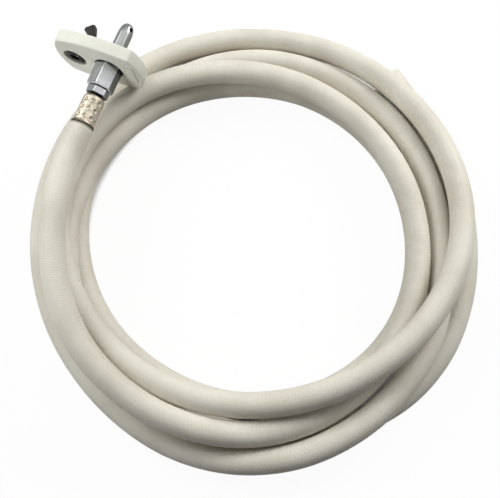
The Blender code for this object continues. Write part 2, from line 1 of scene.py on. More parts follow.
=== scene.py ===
from math import asin, atan2, ceil, cos, degrees, dist, hypot, radians, sin, sqrt, tan, tau as turn

import bmesh
import bpy
import numpy as np
from mathutils import Matrix, Vector


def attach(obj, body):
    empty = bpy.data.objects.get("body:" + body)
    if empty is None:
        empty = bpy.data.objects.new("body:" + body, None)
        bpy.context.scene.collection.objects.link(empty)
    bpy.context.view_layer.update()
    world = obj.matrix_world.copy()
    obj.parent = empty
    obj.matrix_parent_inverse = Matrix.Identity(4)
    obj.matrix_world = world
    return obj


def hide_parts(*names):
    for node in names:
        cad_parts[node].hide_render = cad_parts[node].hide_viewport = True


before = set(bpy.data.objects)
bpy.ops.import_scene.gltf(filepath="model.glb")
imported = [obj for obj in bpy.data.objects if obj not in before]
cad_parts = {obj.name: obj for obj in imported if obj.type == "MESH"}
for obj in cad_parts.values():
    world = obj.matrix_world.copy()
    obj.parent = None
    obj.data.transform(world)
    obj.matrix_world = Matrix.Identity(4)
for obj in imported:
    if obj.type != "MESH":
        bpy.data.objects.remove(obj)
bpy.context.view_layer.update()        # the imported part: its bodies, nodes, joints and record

# A coil of braided white hose with a plug-in fitting. Metres, +Z up, the coil lying on z = 0.
mm = 0.001
scene = bpy.context.scene
cut, join = "DIFFERENCE", "UNION"
sharpFrom = 32.0        # degrees between faces, from which an edge is sharp


def sizes(**given):  # lengths given in millimetres
    return {name: value * mm for name, value in given.items()}


class Wire:  # an output socket that takes part in sums
    def __init__(self, graph, socket):
        self.graph = graph
        self.socket = socket

    def other(self, name):
        return Wire(self.graph, self.socket.node.outputs[name])

    def __abs__(self):
        return self.graph.sum("ABSOLUTE", self)

    def __add__(self, value):
        return self.graph.sum("ADD", self, value)

    def __radd__(self, value):
        return self.graph.sum("ADD", value, self)

    def __sub__(self, value):
        return self.graph.sum("SUBTRACT", self, value)

    def __rsub__(self, value):
        return self.graph.sum("SUBTRACT", value, self)

    def __mul__(self, value):
        return self.graph.sum("MULTIPLY", self, value)

    def __rmul__(self, value):
        return self.graph.sum("MULTIPLY", value, self)

    def __truediv__(self, value):
        return self.graph.sum("DIVIDE", self, value)

    def __rtruediv__(self, value):
        return self.graph.sum("DIVIDE", value, self)


class Graph:  # a node tree
    def __init__(self, tree):
        self.tree = tree

    def node(self, kind, settings=None, values=None, out=0):
        made = self.tree.nodes.new(kind)
        for name, value in (settings or {}).items():
            setattr(made, name, value)
        for name, value in (values or {}).items():
            if isinstance(value, Wire):
                self.tree.links.new(value.socket, made.inputs[name])
            else:
                made.inputs[name].default_value = value
        return Wire(self, made.outputs[out]) if made.outputs else None

    def sum(self, operation, first, second=0.0):
        return self.node("ShaderNodeMath", {"operation": operation}, {0: first, 1: second})

    def grow(self, kind, settings=None, out=0, **values):  # a Geometry Nodes step; _ stands for a space
        values = {name.replace("_", " "): value for name, value in values.items()}
        return self.node("GeometryNode" + kind, settings, values, out)

    def ease(self, value, low, high, start=0.0, end=1.0):  # soft step from start to end
        values = {"Value": value, "From Min": low, "From Max": high, "To Min": start, "To Max": end}
        return self.node("ShaderNodeMapRange", {"interpolation_type": "SMOOTHSTEP"}, values)

    def fade(self, value, low, high):  # soft step from 1 to 0
        return self.ease(value, low, high, 1.0, 0.0)

    def split(self, vector):
        parts = self.node("ShaderNodeSeparateXYZ", None, {0: vector})
        return parts, parts.other("Y"), parts.other("Z")

    def vector(self, x, y, z):
        return self.node("ShaderNodeCombineXYZ", None, {"X": x, "Y": y, "Z": z})

    def length(self, x, y):
        return self.sum("SQRT", x * x + y * y)

    def radius(self, place):  # distance from the place's Z axis
        x, y, _ = self.split(place)
        return self.length(x, y)

    def blend(self, factor, first, second):  # of two colours
        return self.node("ShaderNodeMix", {"data_type": "RGBA"}, {0: factor, 6: first, 7: second}, out=2)


def tone(red, green, blue):  # a colour as seen on screen, 0 to 255, made linear
    def linear(value):
        value /= 255
        return value / 12.92 if value < 0.04045 else ((value + 0.055) / 1.055) ** 2.4
    return (linear(red), linear(green), linear(blue), 1.0)


class Paint(Graph):  # a surface finish; its look is what a user would change
    def __init__(self, name, look=None, **fixed):
        self.look = look
        self.material = bpy.data.materials.new(name)
        self.material.use_nodes = True
        super().__init__(self.material.node_tree)
        self.shader = self.tree.nodes["Principled BSDF"]
        for socket, value in fixed.items():
            self.shader.inputs[socket.replace("_", " ")].default_value = value

    def feed(self, **wires):
        for socket, wire in wires.items():
            self.tree.links.new(wire.socket, self.shader.inputs[socket.replace("_", " ")])

    def place(self, matrix=None):  # object coordinates in millimetres, in the frame of a matrix
        matrix = matrix or Matrix.Identity(4)
        flat = self.node("ShaderNodeTexCoord", None, None, "Object")
        return self.node("ShaderNodeMapping", {"vector_type": "TEXTURE"},
                         {"Vector": flat, "Location": matrix.translation, "Rotation": matrix.to_euler(),
                          "Scale": (mm, mm, mm)})

    def noise(self, place, size, detail=2.0, roughness=0.5):  # size is the width of its blotches
        return self.node("ShaderNodeTexNoise", None,
                         {"Vector": place, "Scale": 1.0 / size, "Detail": detail, "Roughness": roughness})

    def stretched(self, place, x, y, z):
        return self.node("ShaderNodeVectorMath", {"operation": "MULTIPLY"}, {0: place, 1: (x, y, z)})

    def rise(self, value, zone):  # from 0 to 1 across a zone of the look
        return self.ease(value, *self.look[zone])

    def fall(self, value, zone):
        return self.fade(value, *self.look[zone])

    def base(self, factor):
        self.colour = self.blend(factor, self.look["light"], self.look["dark"])

    def coat(self, zone, name):  # with a colour of the look, as strongly as it says
        over, strength = self.look[name]
        self.colour = self.blend(zone * strength, self.colour, over)

    def finish(self, grain, height=None):  # the grain shows in the gloss and as relief
        rough = self.look["rough"] + self.look["uneven"] * grain
        relief = {"Height": height or grain, "Distance": self.look["relief"]}
        normal = self.node("ShaderNodeBump", None, relief)
        self.feed(Base_Color=self.colour, Roughness=rough, Normal=normal)
        return self


def growTree(name, floats, counts):  # an empty Geometry Nodes tree with named inputs
    tree = bpy.data.node_groups.new(name, "GeometryNodeTree")
    kinds = {"Geometry": "Geometry", **dict.fromkeys(floats, "Float"), **dict.fromkeys(counts, "Int")}
    for label, kind in {**kinds, "Finish": "Material"}.items():
        tree.interface.new_socket(label, in_out="INPUT", socket_type="NodeSocket" + kind)
    tree.interface.new_socket("Geometry", in_out="OUTPUT", socket_type="NodeSocketGeometry")
    graph = Graph(tree)
    return graph, graph.node("NodeGroupInput").other


def endTree(graph, take, shape):
    real = graph.grow("RealizeInstances", Geometry=shape)
    painted = graph.grow("SetMaterial", Geometry=real, Material=take("Finish"))
    graph.node("NodeGroupOutput", None, {0: painted})
    return graph


def shown(name, data):
    made = bpy.data.objects.new(name, data)
    scene.collection.objects.link(made)
    return made


def grown(name, data, graph, paint, settings):  # the plain mesh that a tree makes of a mesh or curve
    source = shown(name, data)
    settings = {**settings, "Finish": paint.material}
    step = source.modifiers.new(graph.tree.name, "NODES")
    step.node_group = graph.tree
    for item in graph.tree.interface.items_tree:
        if item.in_out == "INPUT" and item.name in settings:
            step[item.identifier] = settings[item.name]
    mesh = asSeen(source)
    bpy.data.objects.remove(source)
    return mesh


def asSeen(thing):  # a plain mesh of an object with its modifiers
    return bpy.data.meshes.new_from_object(thing.evaluated_get(bpy.context.evaluated_depsgraph_get()))


def piece(name, mesh, paint, replaced, matrix=None, body="hose_assembly"):  # finished, on its body
    if matrix:
        mesh.transform(matrix)
    if not mesh.materials:
        mesh.materials.append(paint.material)
    mesh.shade_smooth()
    mesh.set_sharp_from_angle(angle=radians(sharpFrom))
    made = shown(name, mesh)
    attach(made, body)
    if replaced:
        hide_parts(replaced)
    return made


def closed(shape, name):  # a bmesh as a mesh whose faces point out
    bmesh.ops.remove_doubles(shape, verts=shape.verts, dist=0.001 * mm)
    bmesh.ops.recalc_face_normals(shape, faces=shape.faces)
    mesh = bpy.data.meshes.new(name)
    shape.to_mesh(mesh)
    shape.free()
    return mesh


def finer(profile, step):  # a profile with no piece longer than step
    points = [profile[0]]
    for start, end in zip(profile, profile[1:]):
        count = max(1, ceil(dist(start, end) / step))
        points += [tuple(a + (b - a) * k / count for a, b in zip(start, end)) for k in range(1, count + 1)]
    return points


def turned(name, profile, sides, step=None, hexagon=None):  # (radius, height) points spun about Z
    if step:
        profile = finer(profile, step)
    shape, rings = bmesh.new(), []
    for radius, height in profile:
        if radius == 0:
            rings.append([shape.verts.new((0, 0, height))])
            continue
        ring = []
        for k in range(sides):
            a = turn * k / sides
            r = min(radius, hexRadius(a, hexagon)) if hexagon else radius
            ring.append(shape.verts.new((r * cos(a), r * sin(a), height)))
        rings.append(ring)
    after = rings[1:] if len(rings[0]) == 1 else rings[1:] + rings[:1]
    for low, high in zip(rings, after):
        for k in range(sides):
            n = k + 1
            corners = [low[k % len(low)], low[n % len(low)], high[n % len(high)], high[k % len(high)]]
            shape.faces.new(list(dict.fromkeys(corners)))
    return closed(shape, name)


def hexRadius(angle, across):  # distance to a hexagon's side, with its corners eased
    side = turn / 6
    off = (angle - radians(fitting["hexTurn"]) + side / 2) % side - side / 2
    sharp = across / 2 / cos(off)
    corner = across / sqrt(3) - fitting["hexCorner"]
    blur = fitting["hexCorner"]
    mix = min(max(0.5 + (corner - sharp) / (2 * blur), 0), 1)
    return corner * (1 - mix) + sharp * mix - blur * mix * (1 - mix)


def prism(name, outline, low, high):  # an outline in XY between two heights
    shape = bmesh.new()
    base = [shape.verts.new((x, y, low)) for x, y in outline]
    lid = [shape.verts.new((x, y, high)) for x, y in outline]
    shape.faces.new(base)
    shape.faces.new(lid)
    for k in range(len(outline)):
        n = (k + 1) % len(outline)
        shape.faces.new((base[k], base[n], lid[n], lid[k]))
    return closed(shape, name)


def shaped(name, mesh, steps):  # steps are a bevel (width, segments, angle) or (mesh, cut or join)
    work = shown(name, mesh)
    tools = []
    for step in steps:
        if isinstance(step[0], bpy.types.Mesh):
            tools.append(shown(step[0].name, step[0]))
            change = work.modifiers.new("change", "BOOLEAN")
            change.object = tools[-1]
            change.operation = step[1]
        else:
            bevel = work.modifiers.new("bevel", "BEVEL")
            bevel.width, bevel.segments = step[0], step[1]
            bevel.limit_method = "ANGLE"
            bevel.angle_limit = radians(step[2])
    result = asSeen(work)
    for thing in [work, *tools]:
        bpy.data.objects.remove(thing)
    return result


def rotation(angle, about):
    return Matrix.Rotation(radians(angle), 4, about)


def arc(radius, first, last, steps, x, y):
    angles = [radians(first + (last - first) * k / steps) for k in range(steps + 1)]
    return [(x + radius * cos(a), y + radius * sin(a)) for a in angles]


camera = {"place": (-0.0019, -0.1191, 0.3632), "tilt": 17.0, "lens": 50.0, "sensor": 36.0}
room = {
    "seen": (1, 1, 1, 1), "light": (0.1632, 0.1683, 0.17, 1), "floor": (0.20, 0.20, 0.195, 1), "shadow": 0.05,
    "floorSize": 8.0, "floorDrop": 0.05 * mm, "matt": 0.9,
    "coilInside": (89.0, 93.0), "coilOutside": (116.0, 122.0),      # between them the floor is in full shade
}
lamps = {       # place, aimed at, width, watts, colour, spread in degrees
    "right": ((0.62, 0.50, 0.46), (0, 0.02, 0.02), 0.5, 6.3, (1.0, 0.99, 0.97), 180),
    "left": ((-0.62, 0.32, 0.60), (0, 0, 0.02), 0.5, 4.6, (0.99, 1.0, 1.0), 180),
    "top": ((0.05, 0.40, 0.95), (0, 0.05, 0), 0.6, 1.1, (1.0, 1.0, 0.99), 180),
    "side": ((-0.60, -0.66, 0.34), (-0.10, 0.06, 0.04), 0.25, 0.058, (1.0, 1.0, 0.97), 22),
}
cards = {       # dark cards that the metal reflects: middle, faced point, width, height, grey
    "left": ((-0.72, 0.60, 0.20), (-0.08, 0.07, 0.05), 1.0, 0.30, 0.3),
    "right": ((0.80, 0.05, 0.08), (-0.05, 0.10, 0.05), 1.0, 0.24, 0.08),
    "front": ((0.0, -0.75, 0.16), (0, 0, 0), 1.6, 0.42, 0.06),
}


def setCamera():
    data = bpy.data.cameras.new("camera")
    data.lens = camera["lens"]
    data.sensor_width = camera["sensor"]
    made = shown("camera", data)
    made.location = camera["place"]
    made.rotation_euler = (radians(camera["tilt"]), 0, 0)
    scene.camera = made


def seenRays(graph):  # 1 for camera, glossy and transmission rays
    rays = graph.node("ShaderNodeLightPath", None, None, "Is Camera Ray")
    either = graph.sum("MAXIMUM", rays, rays.other("Is Glossy Ray"))
    return graph.sum("MAXIMUM", either, rays.other("Is Transmission Ray"))


def setRoom():
    world = bpy.data.worlds.new("room")
    world.use_nodes = True
    scene.world = world
    graph = Graph(world.node_tree)
    sky = world.node_tree.nodes["Background"]
    colour = graph.blend(seenRays(graph), room["light"], room["seen"])
    world.node_tree.links.new(colour.socket, sky.inputs["Color"])
    sky.inputs["Strength"].default_value = 1.0

    paint = Paint("floor", Roughness=room["matt"])
    paint.feed(Base_Color=paint.blend(seenRays(paint), room["floor"], room["seen"]))
    glow = paint.node("ShaderNodeEmission", None, {"Color": room["seen"], "Strength": 1.0})
    reach = paint.radius(paint.place())
    under = paint.ease(reach, *room["coilInside"]) * paint.fade(reach, *room["coilOutside"])
    factor = seenRays(paint) * (1 - room["shadow"]) * (1 - under)
    plain = Wire(paint, paint.shader.outputs[0])
    both = paint.node("ShaderNodeMixShader", None, {0: factor, 1: plain, 2: glow})
    paint.tree.links.new(both.socket, paint.tree.nodes["Material Output"].inputs["Surface"])
    size = room["floorSize"]
    flatSheet("floor", size, size, paint, Matrix.Translation((0, 0, -room["floorDrop"])))


def flatSheet(name, width, height, paint, place):  # part of the stage
    x, y = width / 2, height / 2
    mesh = bpy.data.meshes.new(name)
    mesh.from_pydata([(-x, -y, 0), (x, -y, 0), (x, y, 0), (-x, y, 0)], [], [(0, 1, 2, 3)])
    mesh.transform(place)
    mesh.materials.append(paint.material)
    made = shown(name, mesh)
    return made


def setLamps():
    for name, (place, target, width, watts, colour, spread) in lamps.items():
        data = bpy.data.lights.new(name, "AREA")
        data.shape = "DISK"
        data.size = width
        data.energy = watts
        data.color = colour
        data.spread = radians(spread)
        made = shown(name, data)
        made.location = place
        made.rotation_euler = (Vector(target) - Vector(place)).to_track_quat("-Z", "Y").to_euler()


def setCards():
    for name, (middle, faced, width, height, grey) in cards.items():
        paint = Paint(name + "Card", Base_Color=(grey, grey, grey, 1), Roughness=room["matt"])
        facing = (Vector(middle) - Vector(faced)).to_track_quat("Z", "Y").to_matrix().to_4x4()
        card = flatSheet(name + "Card", width, height, paint, Matrix.Translation(middle) @ facing)
        card.visible_camera = False     # only reflections show it


setCamera()
setRoom()
setLamps()
setCards()
scene.view_settings.view_transform = "Standard"
print("camera, room and lamps are set")


hose = sizes(
    diameter=12.7, bore=6.35, floorCut=1.27, coilPitch=13.2, coilRadius=84.7, settleGap=0.65,
    ringStep=2.8, weld=0.002,
) | {
    "coilCentre": (-0.4 * mm, 0.7 * mm), "firstStation": 135.0, "stationsPerTurn": 8, "pointsPerTurn": 24,
    "bareEnd": 1850.0, "settlePasses": 120, "smoothing": 0.15, "samples": 8, "sides": 44,
    # height and radius in mm where it leaves the ferrule, then heights at which it's straight and full
    "lead": ((13.2, 4.5), (1.2, 4.5), (0.5, 4.9), (0.1, 5.45), (-0.3, 5.85), (-0.7, 6.12), (-1.2, 6.28)),
    "straight": (-2.4, -5.0, -7.6, -10.2),
}
yarns = {
    "Count": 26, "Ring Radius": 4.6 * mm, "Yarn Radius": 0.32 * mm, "Height": 0.6 * mm, "Stray": 0.09 * mm,
    "Seed": 4,
}
turns = (   # lane and layer of the hose where it passes 135, 180, 225, 270, 315, 0, 45 and 90 degrees
    ((0.95, 2.7), (0.90, 3.1), (1.60, 2.4), (1.64, 1.1), (0.90, 0.9), (0.05, 1.1), (-0.1, 0.9), (0.30, 1.0)),
    ((0.80, 1.6), (1.05, 2.1), (1.00, 1.6), (0.90, 1.3), (1.10, 2.0), (1.75, 1.4), (2.15, 0.7), (2.55, 0.0)),
    ((2.55, 0.0), (2.20, 0.0), (2.12, 0.0), (2.42, 0.5), (1.85, 0.9), (0.95, 0.7), (1.35, 0.2), (1.55, 0.1)),
    ((1.10, 0.0), (0.80, 0.0), (0.70, 0.0), (0.74, 0.0), (0.70, 0.0), (0.35, 0.0), (0.20, 0.0), (0.30, 0.0)),
    ((0.40, 0.7), (0.95, 1.1), (1.40, 0.7), (1.80, 0.0), (2.50, 0.0), (2.25, 0.0), (2.60, 0.0), (5.40, 0.0)),
)
fitting = sizes(    # most are heights along its axis from the ferrule's mouth
    collarEnd=15.0, tailHex=17.4, spigot=21.1, spigotEnd=27.6, nut=21.4, nutEnd=36.1, shank=29.4,
    plateBack=34.0, pocketFloor=37.5, plateFront=41.0, flange=40.1, flangeEnd=41.5, tip=60.5, gap=0.3,
    hexCorner=0.08, hexFace=0.1,
) | {
    "mouthAngle": 153.4, "mouthLane": 0.94, "mouthLayer": 2.95, "heading": 68.9, "pitch": 3.5, "roll": -5.0,
    "latch": Vector((20.0 * mm, 0, 37.5 * mm)), "hexTurn": 3.6, "hexSlope": 30.0,
}


def coilPoint(angle, lane, layer):
    radius = hose["coilRadius"] + hose["coilPitch"] * lane
    height = hose["diameter"] / 2 - hose["floorCut"] + hose["coilPitch"] * layer
    a = radians(angle)
    x, y = hose["coilCentre"]
    return Vector((x + radius * cos(a), y + radius * sin(a), height))


def fittingFrame():
    heading, pitch, roll = (radians(fitting[key]) for key in ("heading", "pitch", "roll"))
    level = Vector((-sin(heading), cos(heading), 0))
    flat = cos(pitch)
    along = Vector((cos(heading) * flat, sin(heading) * flat, sin(pitch)))
    across = cos(roll) * level + sin(roll) * along.cross(level)
    axes = Matrix((across, along.cross(across), along)).transposed()
    mouth = coilPoint(fitting["mouthAngle"], fitting["mouthLane"], fitting["mouthLayer"])
    return Matrix.Translation(mouth) @ axes.to_4x4()


axis = fittingFrame()
latchPlace = axis @ Matrix.Translation(fitting["latch"])
print("fitting stands at", [round(value / mm, 1) for value in axis.translation])


def smoothed(values, place):
    padded = [2 * values[0] - values[1], *values, 2 * values[-1] - values[-2]]
    k = min(max(int(place), 0), len(values) - 2)
    f = place - k
    a, b, c, d = padded[k:k + 4]
    return 0.5 * (2 * b + (c - a) * f + (2 * a - 5 * b + 4 * c - d) * f**2 + (3 * b - a - 3 * c + d) * f**3)


def settled(route, held):  # touching turns pushed apart until they lie beside and on each other
    lowest = hose["diameter"] / 2 - hose["floorCut"]
    clear = hose["diameter"] + hose["settleGap"]
    count = hose["samples"]
    skip = count * hose["pointsPerTurn"] // 3
    segment = np.repeat(np.arange(len(route) - 1), count)
    share = np.tile(np.arange(count) / count, len(route) - 1)[:, None]
    order = np.arange(len(segment))
    apart = order[:, None] - order[None] > skip
    points = route.copy()
    for k in range(hose["settlePasses"]):
        samples = points[segment] * (1 - share) + points[segment + 1] * share
        offset = samples[:, None] - samples[None]
        distance = np.sqrt((offset**2).sum(axis=2))
        first, second = np.nonzero((distance < clear) & apart)
        if len(first) == 0:
            break
        near = distance[first, second][:, None]
        push = offset[first, second] / near * (clear - near) / 2
        total = np.zeros_like(points)
        weight = np.full(len(points), 1e-9)
        for side, sign in ((first, 1.0), (second, -1.0)):
            for after, part in ((0, 1 - share[side]), (1, share[side])):
                np.add.at(total, segment[side] + after, sign * push * part)
                np.add.at(weight, segment[side] + after, part[:, 0])
        step = total / np.maximum(weight, 1.0)[:, None]
        step[:held] = 0
        shift = points + step - route
        smoothing = max(0.0, hose["smoothing"] * (1 - 1.2 * k / hose["settlePasses"]))  # 0 in the last sixth
        shift[1:-1] += smoothing * (shift[:-2] + shift[2:] - 2 * shift[1:-1])
        shift[:held] = 0
        points = route + shift
        points[:, 2] = np.maximum(points[:, 2], lowest)
    return points


def hoseRoute(matrix):
    lanes = [lane for row in turns for lane, _ in row]
    layers = [layer for row in turns for _, layer in row]
    straightEnd = matrix @ Vector((0, 0, -hose["diameter"]))
    centre = Vector((*hose["coilCentre"], 0))
    start = degrees(atan2(*(straightEnd - centre).yx))
    step = 360 / hose["pointsPerTurn"]
    angles = list(np.arange(start + step, hose["bareEnd"] - step / 2, step)) + [hose["bareEnd"]]
    route = [straightEnd]
    for angle in angles:
        place = (angle - hose["firstStation"]) * hose["stationsPerTurn"] / 360
        route.append(coilPoint(angle, smoothed(lanes, place), max(smoothed(layers, place), 0)))
    return settled(np.array(route), held=2)


def throughPoints(points, heading, step):  # an even curve through points, leaving the first along heading
    gaps = np.linalg.norm(np.diff(points, axis=0), axis=1)
    slopes = np.diff(points, axis=0) / gaps[:, None]
    before, after = gaps[:-1, None], gaps[1:, None]
    middle = (slopes[:-1] * after + slopes[1:] * before) / (before + after)
    tangents = np.vstack([heading, middle, slopes[-1:]])
    curve = []
    for k, gap in enumerate(gaps):
        count = max(2, round(gap / step))
        for f in np.arange(count) / count:
            a, b = 2 * f**3 - 3 * f**2 + 1, f**3 - 2 * f**2 + f
            c, d = 3 * f**2 - 2 * f**3, f**3 - f**2
            leaving, arriving = b * gap * tangents[k], d * gap * tangents[k + 1]
            curve.append(a * points[k] + leaving + c * points[k + 1] + arriving)
    return curve + [points[-1]]


def sweepTree():
    graph, take = growTree("hoseSweep", ["Radius", "Bore", "Weld"], ["Sides"])
    line = graph.grow("SetCurveNormal", {"mode": "Z_UP"}, Curve=take("Geometry"))
    length = graph.grow("SplineParameter", None, "Length")
    line = graph.grow("StoreNamedAttribute", Geometry=line, Name="along", Value=length)
    share = graph.grow("SplineParameter")
    along = graph.grow("InputNamedAttribute", Name="along")
    around = graph.grow("InputNamedAttribute", Name="around")
    chart = graph.vector(along, around, 0.0)

    def wall(radius, scale):
        ring = graph.grow("CurveArc", Resolution=take("Sides") + 1, Radius=radius, Sweep_Angle=turn)
        ring = graph.grow("StoreNamedAttribute", Geometry=ring, Name="around", Value=share)
        tube = graph.grow("CurveToMesh", Curve=line, Profile_Curve=ring, Scale=scale)
        pairs = {"data_type": "FLOAT2", "domain": "CORNER"}
        return graph.grow("StoreNamedAttribute", pairs, Geometry=tube, Name="hoseMap", Value=chart)

    x, y, z = graph.split(graph.grow("InputPosition"))
    pressed = graph.vector(x, y, graph.sum("MAXIMUM", z, 0.0))      # flat where it lies on the floor
    cover = wall(take("Radius"), graph.grow("InputRadius"))
    cover = graph.grow("SetPosition", Geometry=cover, Position=pressed)
    lining = graph.grow("FlipFaces", Mesh=wall(take("Bore"), 1.0))
    joined = graph.grow("JoinGeometry", Geometry=cover)
    graph.tree.links.new(lining.socket, joined.socket.node.inputs["Geometry"])
    merged = graph.grow("MergeByDistance", Geometry=joined, Distance=take("Weld"))
    return endTree(graph, take, merged)


def makeHose(matrix, paint, yarn):
    route = hoseRoute(matrix)
    path = throughPoints(route, np.array(-matrix.col[2].xyz), hose["ringStep"])
    full = hose["diameter"] / 2
    knots = [(matrix @ Vector((0, 0, height * mm)), radius * mm) for height, radius in hose["lead"]]
    knots += [(matrix @ Vector((0, 0, height * mm)), full) for height in hose["straight"]]
    knots += [(Vector(point), full) for point in path]
    curve = bpy.data.curves.new("hoseGuide", "CURVE")
    curve.dimensions = "3D"
    spline = curve.splines.new("POLY")
    spline.points.add(len(knots) - 1)
    for knot, (point, radius) in zip(spline.points, knots):
        knot.co = (*point, 1)
        knot.radius = radius / full
    mesh = grown("hoseGuide", curve, sweepTree(), paint, {
        "Radius": full, "Bore": hose["bore"] / 2, "Weld": hose["weld"], "Sides": hose["sides"]})
    end = endFrame(knots[-1][0], knots[-1][0] - knots[-2][0])
    mesh.materials.append(cutPaint(end).material)
    closeEnds(mesh, knots[0][0], knots[-1][0])
    made = piece("hose_cover", mesh, paint, "hose")
    path = [point for point, _ in knots]
    return made, makeYarns(end, yarn), path, sum((b - a).length for a, b in zip(path, path[1:]))


def endFrame(point, outward):
    return Matrix.Translation(point) @ outward.to_track_quat("Z", "Y").to_matrix().to_4x4()


def yarnTree():  # cut yarn ends in a ring, each a little out of line
    graph, take = growTree("yarnEnds", ["Ring Radius", "Yarn Radius", "Height", "Stray"], ["Count", "Seed"])
    ring = graph.grow("MeshCircle", Vertices=take("Count"), Radius=take("Ring Radius"))
    stray = graph.node("FunctionNodeRandomValue", {"data_type": "FLOAT_VECTOR"},
                       {0: (-1.0, -1.0, -0.3), 1: (1.0, 1.0, 1.0), "Seed": take("Seed")})
    moved = graph.node("ShaderNodeVectorMath", {"operation": "SCALE"}, {0: stray, "Scale": take("Stray")})
    spread = graph.grow("SetPosition", Geometry=ring, Offset=moved)
    stub = graph.grow("MeshCylinder", Vertices=10, Radius=take("Yarn Radius"), Depth=take("Height"))
    size = graph.node("FunctionNodeRandomValue", {"data_type": "FLOAT"},
                      {2: 0.75, 3: 1.15, "Seed": take("Seed") + 1.0}, 1)
    spots = graph.grow("InstanceOnPoints", Points=spread, Instance=stub, Scale=size)
    return endTree(graph, take, spots)


def makeYarns(end, paint):
    mesh = grown("yarns", bpy.data.meshes.new("yarns"), yarnTree(), paint, yarns)
    return piece("yarn_ends", mesh, paint, None, end)


def closeEnds(mesh, *ends):  # joins cover and bore at each end; the last end shows its cut
    shape = bmesh.new()
    shape.from_mesh(mesh)
    for k, end in enumerate(ends):
        rims = [edge for edge in shape.edges
                if edge.is_boundary and (edge.verts[0].co - end).length < hose["diameter"]]
        for face in bmesh.ops.bridge_loops(shape, edges=rims)["faces"]:
            face.material_index = k
    shape.to_mesh(mesh)
    shape.free()


ferrule = sizes(
    diameter=11.1, wall=0.75, length=16.5, endWall=1.2, hole=6.4, flare=12.4, flareFlat=0.55,
    flareEnd=1.6, rounding=2.0, step=0.22,
) | {
    "sides": 176,
    "dimples": {
        "Rows": 3, "Columns": 9, "First Row": 3.9 * mm, "Row Pitch": 4.4 * mm, "Turned By": 0.65,
        "Twist": 0.1, "Dimple Radius": 1.4 * mm, "Depth": 0.5 * mm, "Rim": 0.07 * mm,
    },
}


def dimpleTree():  # presses round dimples into a sleeve and notes where they are
    graph, take = growTree("crimpDimples", [
        "First Row", "Row Pitch", "Turned By", "Twist", "Sleeve Radius", "Dimple Radius", "Depth", "Rim",
    ], ["Rows", "Columns"])
    columns, radius = take("Columns"), take("Sleeve Radius")
    index = graph.grow("InputIndex")
    row = graph.sum("FLOOR", index / columns)
    column = index - row * columns
    angle = (column + row * take("Twist") + take("Turned By")) * turn / columns
    spot = graph.vector(graph.sum("COSINE", angle) * radius, graph.sum("SINE", angle) * radius,
                        take("First Row") + row * take("Row Pitch"))
    points = graph.grow("Points", Count=take("Rows") * columns, Position=spot)
    away = graph.grow("Proximity", {"target_element": "POINTS"}, "Distance", Geometry=points)
    away = away / take("Dimple Radius")
    x, y, _ = graph.split(graph.grow("InputPosition"))
    reach = graph.length(x, y)
    outside = graph.ease(reach / radius, 0.90, 0.96)        # the sleeve's inside stays as it is
    dent = graph.fade(away, 0.12, 0.95)
    ridge = graph.ease(away, 0.8, 1.1) * graph.fade(away, 1.1, 1.5)     # raised round the dent
    move = (ridge * take("Rim") - dent * take("Depth")) * outside / reach
    push = graph.vector(x * move, y * move, 0.0)
    pushed = graph.grow("SetPosition", Geometry=take("Geometry"), Offset=push)
    noted = graph.grow("StoreNamedAttribute", Geometry=pushed, Name="dimple", Value=dent * outside)
    return endTree(graph, take, noted)


def makeFerrule(paint):
    outer, inner = ferrule["diameter"] / 2, ferrule["diameter"] / 2 - ferrule["wall"]
    flare, lip, hole = ferrule["flare"] / 2, ferrule["wall"] / 2, ferrule["hole"] / 2
    corner, length = ferrule["rounding"], ferrule["length"]
    profile = arc(lip, 180, 360, 8, flare - lip, lip)
    profile += [(flare, ferrule["flareFlat"]), (outer, ferrule["flareEnd"])]
    profile += arc(corner, 0, 82, 12, outer - corner, length - corner)
    profile += [(hole, length), (hole, length - ferrule["endWall"]),
                (inner, length - ferrule["endWall"]), (inner, ferrule["flareEnd"])]
    sleeve = turned("ferrule", profile, ferrule["sides"], ferrule["step"])
    mesh = grown("ferrule", sleeve, dimpleTree(), paint, {**ferrule["dimples"], "Sleeve Radius": outer})
    piece("ferrule_shell", mesh, paint, "crimp_ferrule", axis)


tail = sizes(
    bore=3.0, barb=4.6, barbStart=1.5, barbDepth=0.35, collar=7.4, collarStart=13.5, neck=5.8,
    hexagon=10.3, spigot=6.6, step=0.32,
) | {"barbRise": 0.75, "rings": 3, "sides": 300}
nut = sizes(hexagon=12.6, bore=7.2, lead=0.5, step=0.24) | {"sides": 360}


def hexZone(across, low, high):  # profile of a hexagon with both ends turned down
    corner, face = across / sqrt(3), across / 2 - fitting["hexFace"]
    rise = (corner - face) * tan(radians(fitting["hexSlope"]))
    return [(face, low), (corner, low + rise), (corner, high - rise), (face, high)]


def makeTail(paint):
    barb, bore, spigot = tail["barb"] / 2, tail["bore"] / 2, tail["spigot"] / 2
    pitch = (tail["collarStart"] - tail["barbStart"]) / tail["rings"]
    profile = [(bore, tail["barbStart"])]
    for k in range(tail["rings"]):
        low = tail["barbStart"] + pitch * k
        top = low + tail["barbRise"] * pitch
        profile += [(barb - tail["barbDepth"], low), (barb, top), (barb, low + pitch)]
    collar, neck, collarEnd = tail["collar"] / 2, tail["neck"] / 2, fitting["collarEnd"]
    profile += [(collar, tail["collarStart"]), (collar, collarEnd),
                (neck, collarEnd), (neck, fitting["tailHex"])]
    profile += hexZone(tail["hexagon"], fitting["tailHex"], fitting["spigot"])
    profile += [(spigot, fitting["spigot"]), (spigot, fitting["spigotEnd"]), (bore, fitting["spigotEnd"])]
    mesh = turned("tail", profile, tail["sides"], tail["step"], tail["hexagon"])
    piece("tail_body", mesh, paint, "hose_tail", axis)


